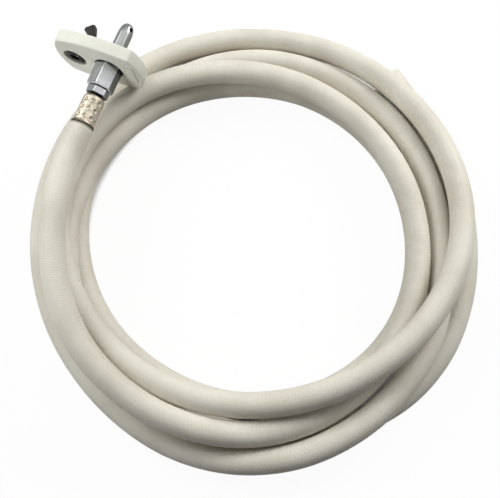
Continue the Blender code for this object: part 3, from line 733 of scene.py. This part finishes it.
def makeNut(paint):
    bore = nut["bore"] / 2
    profile = [(bore, fitting["nut"] + nut["lead"]), (bore + nut["lead"], fitting["nut"])]
    profile += hexZone(nut["hexagon"], fitting["nut"], fitting["nutEnd"])
    profile += [(bore + nut["lead"], fitting["nutEnd"]), (bore, fitting["nutEnd"] - nut["lead"])]
    mesh = turned("nut", profile, nut["sides"], nut["step"], nut["hexagon"])
    piece("union_nut_body", mesh, paint, "union_nut", axis)


plate = sizes(
    length=49.0, width=33.0, endRadius=24.5, sideRadius=75.0, offset=6.0, rounding=0.95, rim=0.35,
    pocket=15.6, frontPocket=12.8, frontDepth=1.2, shankHole=7.8, latchHole=12.6, pinHole=2.6,
    pinReach=9.6, panelInset=5.4, panelCorner=0.8, panelEdge=0.18,
) | {"panel": (5.0 * mm, 13.0 * mm, 0.4 * mm)}


def plateOutline():
    end, side = plate["endRadius"], plate["sideRadius"]
    endX, sideY = plate["length"] / 2 - end, plate["width"] / 2 - side
    away = hypot(endX, sideY)       # between the centres of the end arc and the side arc
    near = (end**2 - side**2 + away**2) / (2 * away)
    rise = sqrt(end**2 - near**2)
    ux, uy = -endX / away, sideY / away
    corner = atan2(near * uy + rise * ux, near * ux - rise * uy)
    cornerX = endX + end * cos(corner)
    slant = asin(cornerX / side)
    quarter = [(endX + end * cos(corner * k / 20), end * sin(corner * k / 20)) for k in range(21)]
    for k in range(9, -1, -1):
        quarter.append((side * sin(slant * k / 10), sideY + side * cos(slant * k / 10)))
    upper = quarter + [(-x, y) for x, y in reversed(quarter[:-1])]
    lower = [(x, -y) for x, y in reversed(upper[1:-1])]
    return [(x + plate["offset"], y) for x, y in upper + lower]


def rod(name, radius, low, high, sides=72):
    return turned(name, [(0, low), (radius, low), (radius, high), (0, high)], sides)


def placed(mesh, *steps):
    for step in steps:
        mesh.transform(step)
    return mesh


def makePlate(paint):
    back, front = fitting["plateBack"], fitting["plateFront"]
    over = front - back
    atLatch = Matrix.Translation(fitting["latch"])
    width, length, height = plate["panel"]
    x = plate["offset"] - plate["length"] / 2 + plate["panelInset"]
    corner = plate["panelCorner"]
    outline, halfX, halfY = [], width / 2 - corner, length / 2 - corner
    for k, (right, up) in enumerate(((1, 1), (-1, 1), (-1, -1), (1, -1))):
        outline += arc(corner, 90 * k, 90 * k + 90, 6, x + right * halfX, up * halfY)
    panel = prism("panel", outline, back - height, back + height)
    panel = shaped("panel", panel, [(plate["panelEdge"], 3, 50)])
    pin = placed(rod("pinDrilling", plate["pinHole"] / 2, -plate["width"], plate["pinReach"], 24),
                 rotation(-90, "X"), atLatch)
    mesh = shaped("plate", prism("plate", plateOutline(), back, front), [
        (plate["rounding"], 5, 30),
        (rod("backPocket", plate["pocket"] / 2, back - over, fitting["pocketFloor"]), cut),
        (rod("frontPocket", plate["frontPocket"] / 2, front - plate["frontDepth"], front + over), cut),
        (rod("shankHole", plate["shankHole"] / 2, back, front), cut),
        (placed(rod("latchHole", plate["latchHole"] / 2, -over, over), atLatch), cut),
        (plate["rim"], 3, 60),
        (pin, cut),
        (panel, join),
    ])
    piece("plate_body", mesh, paint, "index_plate", axis)


probe = sizes(
    diameter=7.8, thin=6.6, shank=7.2, flange=12.2, edge=0.2, nose=6.5, noseFlat=2.8, crown=0.02,
    bore=3.0, port=2.0, portFromTip=3.2,
) | {"crownShare": 0.6, "sides": 128, "portTurn": 150.0}


def makeProbe(paint):
    body, tip, flange, edge = probe["diameter"] / 2, probe["noseFlat"] / 2, probe["flange"] / 2, probe["edge"]
    thin, shank, start = probe["thin"] / 2, probe["shank"] / 2, fitting["shank"]
    step, back, front = fitting["pocketFloor"] + fitting["gap"], fitting["flange"], fitting["flangeEnd"]
    profile = [(0, start), (thin, start), (thin, step), (shank, step), (shank, back), (flange - edge, back),
               (flange, back + edge), (flange, front - edge), (flange - edge, front), (body + edge, front),
               (body, front + edge)]
    for k in range(41):
        a = radians(90 * k / 40)
        profile.append((tip + (body - tip) * cos(a), fitting["tip"] - probe["nose"] * (1 - sin(a))))
    top = fitting["tip"] + probe["crown"]
    profile += [(tip * probe["crownShare"], top), (0, top)]
    height = fitting["tip"] - probe["portFromTip"]
    bore = rod("bore", probe["bore"] / 2, start - probe["bore"], height, 48)
    port = placed(rod("port", probe["port"] / 2, -probe["diameter"], probe["diameter"], 48),
                  rotation(90, "Y"), rotation(probe["portTurn"], "Z"), Matrix.Translation((0, 0, height)))
    mesh = shaped("probe", turned("probe", profile, probe["sides"]), [(bore, cut), (port, cut)])
    piece("probe_body", mesh, paint, "probe", axis)


latch = sizes(
    pin=2.0, pinHalf=9.3, width=7.4, depth=3.2, innerSide=4.2, outerSide=4.4, corner=1.2, shoulder=1.0,
    foot=3.4, overlap=1.0, armWidth=3.6, armThick=3.8, armOffset=3.0, reach=16.7, nose=2.5,
    hookLength=4.3, flat=1.5, slope=2.8, lean=1.6, catchSlope=0.8, edge=0.2, wire=0.55,
    springPitch=1.15, leg=2.2, gap=0.3,
) | {"springTurns": 3.0, "legTurn": 0.2}
standUp = rotation(90, "X")


def makeLever(paint):
    inner = -latch["armOffset"] - latch["armThick"] / 2
    outer = inner + latch["armThick"]
    foot, reach, corner, depth = latch["foot"], latch["reach"], latch["corner"], latch["depth"]
    low, high = -latch["innerSide"], latch["outerSide"]
    knuckle = [(low, corner - depth), (low + corner, -depth), (high - corner, -depth), (high, corner - depth),
               (high, latch["shoulder"]), (outer, foot), (low, foot)]
    catch, tip = reach - latch["hookLength"], inner + latch["lean"]
    nose = outer + latch["nose"]
    low = foot - latch["overlap"]
    arm = [(inner, low), (outer, low), (outer, catch - latch["catchSlope"]), (nose, catch),
           (nose, reach - latch["slope"]), (tip + latch["flat"], reach), (tip, reach), (inner, catch)]
    half = latch["armWidth"] / 2
    armMesh = shaped("arm", prism("arm", arm, -half, half), [(latch["edge"] * 0.6, 2, 20)])
    slot = latch["springPitch"] * latch["springTurns"] / 2 + latch["wire"] / 2 + latch["gap"]
    space = latch["pin"] / 2 + 3 * latch["gap"] + latch["wire"]
    side, roof = latch["leg"] + 2 * latch["gap"], space + latch["wire"]
    box = prism("slot", [(-space, -2 * space), (side, -2 * space), (side, roof), (-space, roof)], -slot, slot)
    hole = rod("hole", latch["pin"] / 2 + latch["gap"], -latch["width"], latch["width"], 48)
    mesh = shaped("lever", prism("lever", knuckle, -latch["width"] / 2, latch["width"] / 2), [
        (latch["edge"], 3, 40), (armMesh, join), (hole, cut), (box, cut)])
    piece("latch_lever_body", mesh, paint, "latch_lever", latchPlace @ standUp, "latch")


def makePin(paint):
    radius, half, edge = latch["pin"] / 2, latch["pinHalf"], latch["edge"]
    profile = [(0, -half), (radius - edge, -half), (radius, edge - half), (radius, half - edge),
               (radius - edge, half), (0, half)]
    mesh = turned("pin", profile, 64)
    piece("latch_pin_body", mesh, paint, "latch_pin", latchPlace @ standUp)


def springTree():  # a helix whose ends run on straight
    graph, take = growTree("torsionSpring", [
        "Coil Radius", "Wire Radius", "Pitch", "Turns", "First Leg", "Last Leg"], ["Points", "Sides"])
    rounds, radius = take("Turns"), take("Coil Radius")
    line = graph.grow("ResampleCurve", Curve=graph.grow("CurvePrimitiveLine"), Count=take("Points"))
    ring = radius * turn
    first, last = take("First Leg") / ring, take("Last Leg") / ring
    course = graph.grow("SplineParameter") * (rounds + first + last) - first
    wound = graph.sum("MINIMUM", graph.sum("MAXIMUM", course, 0.0), rounds)
    past = (course - wound) * ring
    angle = wound * turn + turn / 4
    cosine, sine = graph.sum("COSINE", angle), graph.sum("SINE", angle)
    height = (wound / rounds - 0.5) * take("Pitch") * rounds
    spot = graph.vector(cosine * radius - sine * past, height, sine * radius + cosine * past)
    bent = graph.grow("SetPosition", Geometry=line, Position=spot)
    wire = graph.grow("CurvePrimitiveCircle", Resolution=take("Sides"), Radius=take("Wire Radius"))
    swept = graph.grow("CurveToMesh", Curve=bent, Profile_Curve=wire, Fill_Caps=True)
    return endTree(graph, take, swept)


def makeSpring(paint):
    mesh = grown("spring", bpy.data.meshes.new("spring"), springTree(), paint, {
        "Coil Radius": latch["pin"] / 2 + latch["gap"] + latch["wire"] / 2, "Wire Radius": latch["wire"] / 2,
        "Pitch": latch["springPitch"], "Turns": latch["springTurns"] + latch["legTurn"],
        "First Leg": latch["leg"], "Last Leg": latch["leg"] / 2, "Points": 160, "Sides": 14})
    piece("latch_spring_coil", mesh, paint, "latch_spring", latchPlace)


def hosePaint():
    look = {        # sizes of blotches in mm
        "light": tone(228, 224, 212), "dark": tone(216, 211, 198), "flank": (tone(208, 190, 172), 0.35),
        "stain": (tone(208, 190, 172), 0.2), "furrow": (tone(150, 142, 126), 0.15),
        "speck": (tone(150, 142, 126), 0.7), "mouth": (tone(70, 64, 54), 0.85),
        "mouthTo": (13.6 * mm, 15.2 * mm), "ribPitch": 1.25 * mm, "lean": 8, "clouds": 26.0,
        "patches": 17.0, "stains": 60.0, "fine": 1.6, "specks": 11.0,
        "rough": 0.52, "uneven": 0.16, "relief": 0.16 * mm,
    }
    paint = Paint("hoseCover", look, Roughness=0.55, Specular_IOR_Level=0.35)
    along, around, _ = paint.split(paint.node("ShaderNodeUVMap", {"uv_map": "hoseMap"}))
    place = paint.place()
    ribs = paint.sum("SINE", (along / look["ribPitch"] + around * look["lean"]) * turn)
    back = paint.sum("SINE", (along / look["ribPitch"] - around * look["lean"]) * turn)
    braid = (ribs + back) * 0.25 + 0.5
    paint.base(paint.ease(paint.noise(place, look["clouds"], 3.0), 0.35, 0.68))
    flank = paint.ease(abs(paint.sum("COSINE", around * turn)), 0.72, 1.0)
    patches = paint.ease(paint.noise(place, look["patches"], 3.0), 0.45, 0.7)
    paint.coat(flank * patches, "flank")
    paint.coat(paint.ease(paint.noise(place, look["stains"]), 0.62, 0.8), "stain")
    paint.coat(1 - braid, "furrow")
    # painted shade where the hose goes into the ferrule
    paint.coat(paint.fall(along, "mouthTo"), "mouth")
    speck = paint.node("ShaderNodeTexVoronoi", None, {"Vector": place, "Scale": 1 / look["specks"]})
    paint.coat(paint.fade(speck, 0.022, 0.042), "speck")
    fine = paint.noise(place, look["fine"])
    return paint.finish(fine, braid * 0.6 + fine * 0.4)


def metalPaint(name, light, dark, rough, grain, hexagon=None, grooveShade=None, metallic=1.0):
    look = {        # zones in mm; the flat's are inward from the hexagon's side
        "light": light, "dark": dark, "flat": (tone(98, 98, 96), 0.8), "flatFrom": (0.15, 0.03),
        "end": (tone(86, 88, 86), 0.7), "endFrom": (32.5, 33.0), "endSlant": (0.24, 0.16),
        "grooveShade": (tone(24, 23, 21), 0.92), "clouds": 4.0, "lines": 0.7,
        "rough": rough, "uneven": 0.2, "relief": 0.002 * mm,
    }
    paint = Paint(name, look, Metallic=metallic)
    place = paint.place(axis)
    lines = paint.noise(paint.stretched(place, *grain), look["lines"], 3.0, 0.6)
    paint.base(paint.ease(paint.noise(place, look["clouds"]), 0.3, 0.7))
    x, y, z = paint.split(place)
    if hexagon:     # painted reflections: the flat over the coil and the flats' ends near the pocket are darker
        a = radians(fitting["hexTurn"] + 180)
        out = x * cos(a) + y * sin(a)
        limits = [hexagon / 2 / mm - inward for inward in look["flatFrom"]]
        paint.coat(paint.ease(out, *limits), "flat")
        end = z - x * look["endSlant"][0] - y * look["endSlant"][1]
        paint.coat(paint.rise(end, "endFrom"), "end")
    if grooveShade:      # its height and half its width; painted shade in the groove between ferrule and hexagon
        paint.coat(paint.fade(abs(z - grooveShade[0]), grooveShade[1] * 0.7, grooveShade[1]), "grooveShade")
    return paint.finish(lines)


def probePaint():  # painted shade: darker round the port's rim and towards the nose
    look = {
        "light": tone(146, 149, 147), "dark": tone(134, 137, 135), "nose": (tone(96, 97, 95), 0.5),
        "port": (tone(20, 20, 20), 1.0), "portRim": (0.95, 1.45), "clouds": 3.0, "grain": 0.7,
        "rough": 0.26, "uneven": 0.1, "relief": 0.0004 * mm,
    }
    paint = Paint("probeChrome", look, Metallic=1.0)
    place = paint.place(axis)
    x, y, z = paint.split(place)
    tip, nose, a = fitting["tip"] / mm, probe["nose"] / mm, radians(probe["portTurn"])
    off = x * sin(a) - y * cos(a)
    port = paint.length(off, z - (tip - probe["portFromTip"] / mm))
    paint.base(paint.noise(place, look["clouds"]))
    paint.coat(paint.ease(z, tip - nose, tip), "nose")
    paint.coat(paint.fall(port, "portRim"), "port")
    return paint.finish(paint.noise(paint.stretched(place, 0.2, 0.2, 3), look["grain"], 3.0))


def ferrulePaint():
    look = {
        "light": tone(184, 176, 160), "dark": tone(142, 132, 115), "dimple": (tone(62, 55, 43), 0.9),
        "end": (tone(30, 27, 23), 0.9), "endFrom": (16.0, 16.4), "lip": (tone(52, 47, 38), 0.8),
        "lipTo": (0.5, 1.1), "rubs": 1.4, "grain": 0.5, "rough": 0.4, "uneven": 0.2, "relief": 0.004 * mm,
    }
    paint = Paint("ferruleNickel", look, Metallic=1.0)
    place = paint.place(axis)
    _, _, z = paint.split(place)
    dimple = paint.node("ShaderNodeAttribute", {"attribute_name": "dimple"}, None, "Fac")
    paint.base(paint.ease(paint.noise(place, look["rubs"], 4.0, 0.6), 0.4, 0.7))
    # painted shade in the dimples
    paint.coat(paint.ease(dimple, 0.15, 0.6), "dimple")
    # painted shade in the gap by the tail and on the rolled lip at the mouth
    paint.coat(paint.rise(z, "endFrom"), "end")
    paint.coat(paint.fall(z, "lipTo"), "lip")
    return paint.finish(paint.noise(paint.stretched(place, 1, 1, 0.3), look["grain"], 3.0))


def cutPaint(end):  # the sawn end: lining, braid and cover from the inside out, and saw marks across them
    look = {
        "lining": tone(198, 190, 172), "braid": (tone(226, 222, 212), 1.0), "braidFrom": (4.1, 4.3),
        "cover": (tone(214, 207, 194), 1.0), "coverFrom": (5.0, 5.2), "bore": (tone(96, 86, 72), 0.5),
        "boreTo": (3.2, 3.7), "marks": (tone(150, 140, 122), 0.3), "ragged": 0.2,
        "rough": 0.6, "uneven": 0.25, "relief": 0.08 * mm,
    }
    paint = Paint("hoseCut", look, Specular_IOR_Level=0.3)
    place = paint.place(end)
    reach = paint.radius(place) + paint.noise(place, 1.5) * look["ragged"] - look["ragged"] / 2
    paint.colour = look["lining"]
    paint.coat(paint.rise(reach, "braidFrom"), "braid")
    paint.coat(paint.rise(reach, "coverFrom"), "cover")
    paint.coat(paint.fall(reach, "boreTo"), "bore")
    grain = paint.noise(paint.stretched(place, 0.15, 1, 1), 0.25, 3.0)
    paint.coat(grain, "marks")
    return paint.finish(grain)


def plasticPaint():
    look = {        # heights and radii in mm
        "light": tone(228, 228, 217), "dark": tone(219, 219, 207), "back": (tone(246, 246, 236), 1.0),
        "backTo": (33.9, 34.6), "panel": (tone(150, 148, 134), 0.55), "panelTo": (33.8, 34.4),
        "panelRim": (0.1, 0.5), "pocket": (tone(46, 44, 38), 0.92), "pocketFrom": (34.3, 35.0),
        "pocketRim": (7.84, 8.06), "hole": (tone(92, 90, 76), 0.6), "holeFrom": (34.3, 35.2),
        "holeRim": (6.28, 6.45), "grimeAndShade": (tone(168, 160, 140), 0.4), "grimeAndShadeTo": (7.2, 11.0),
        "mottle": 9.0, "smears": 2.5, "grain": 0.45, "rough": 0.46, "uneven": 0.16, "relief": 0.05 * mm,
    }
    paint = Paint("plateNylon", look, Roughness=0.5, Specular_IOR_Level=0.4)
    place = paint.place(axis)
    x, y, z = paint.split(place)
    paint.base(paint.ease(paint.noise(place, look["mottle"], 3.0), 0.35, 0.7))
    middle = (plate["offset"] - plate["length"] / 2 + plate["panelInset"]) / mm
    offX = abs(x - middle) - plate["panel"][0] / 2 / mm
    offY = abs(y) - plate["panel"][1] / 2 / mm
    rim = paint.fall(abs(paint.sum("MAXIMUM", offX, offY)), "panelRim")
    # painted light: the back face is lighter than the sides
    paint.coat(paint.fall(z, "backTo"), "back")
    # painted shade round the panel's edge
    paint.coat(rim * paint.fall(z, "panelTo"), "panel")
    reach = paint.radius(place)
    # painted shade in the pocket round the nut
    paint.coat(paint.fall(reach, "pocketRim") * paint.rise(z, "pocketFrom"), "pocket")
    around = paint.length(x - fitting["latch"].x / mm, y)
    # painted shade in the latch hole
    paint.coat(paint.fall(around, "holeRim") * paint.rise(z, "holeFrom"), "hole")
    # smeared grime and painted shade, darker towards the pocket
    smears = paint.ease(paint.noise(place, look["smears"], 3.0), 0.4, 0.75)
    paint.coat(paint.fall(reach, "grimeAndShadeTo") * smears, "grimeAndShade")
    return paint.finish(paint.noise(place, look["grain"]))


def leverPaint():
    look = {"black": tone(36, 35, 32), "worn": (tone(84, 79, 70), 0.5), "wear": 1.7, "grain": 0.5,
            "rough": 0.42, "uneven": 0.2, "relief": 0.03 * mm}
    paint = Paint("blackOxide", look, Metallic=0.55, Specular_IOR_Level=0.4)
    place = paint.place(axis)
    worn = paint.ease(paint.noise(place, look["wear"], 4.0, 0.65), 0.52, 0.74)
    paint.colour = look["black"]
    paint.coat(worn, "worn")
    return paint.finish(paint.noise(place, look["grain"], 3.0, 0.6))


def plainPaint(name, matrix, look, **fixed):  # a grain between two colours
    paint = Paint(name, look, **fixed)
    grain = paint.noise(paint.place(matrix), look["grain"], 3.0)
    paint.base(grain)
    return paint.finish(grain)


yarnLook = {"light": tone(238, 235, 226), "dark": tone(205, 198, 182), "grain": 0.15,
            "rough": 0.7, "uneven": 0.2, "relief": 0.05 * mm}
rubberLook = {"light": tone(34, 34, 33), "dark": tone(52, 51, 49), "grain": 0.4,
              "rough": 0.6, "uneven": 0.2, "relief": 0.02 * mm}
along, even = (1, 1, 0.15), (1, 1, 1)       # how grain is stretched
paints = {
    "hose": hosePaint(),
    "yarn": plainPaint("braidYarn", None, yarnLook, Roughness=0.8),
    "ferrule": ferrulePaint(),
    "plastic": plasticPaint(),
    "lever": leverPaint(),
    "rubber": plainPaint("nitrileRubber", axis, rubberLook, Specular_IOR_Level=0.3),
    "spring": metalPaint("springSteel", tone(232, 232, 228), tone(214, 214, 210), 0.26, even, metallic=0.5),
    "steel": metalPaint("zincPlate", tone(192, 194, 195), tone(182, 184, 186), 0.2, along, nut["hexagon"]),
    "tail": metalPaint("tailPlate", tone(186, 187, 190), tone(172, 174, 177), 0.2, along, tail["hexagon"],
                       (16.9, 0.75)),
    "chrome": probePaint(),
}
hoseObject, yarnObject, hoseLine, hoseLength = makeHose(axis, paints["hose"], paints["yarn"])
print(f"hose is swept, {hoseLength:.3f} m long")
makeFerrule(paints["ferrule"])
makeTail(paints["tail"])
makeNut(paints["steel"])
print("ferrule, tail and nut are made")
makePlate(paints["plastic"])
makeProbe(paints["chrome"])
makeLever(paints["lever"])
makePin(paints["spring"])
makeSpring(paints["spring"])
print("plate, probe and latch are made")
for name, finish in {"union_seal": "rubber", "plate_washer": "steel"}.items():
    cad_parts[name].data.materials.clear()
    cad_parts[name].data.materials.append(paints[finish].material)
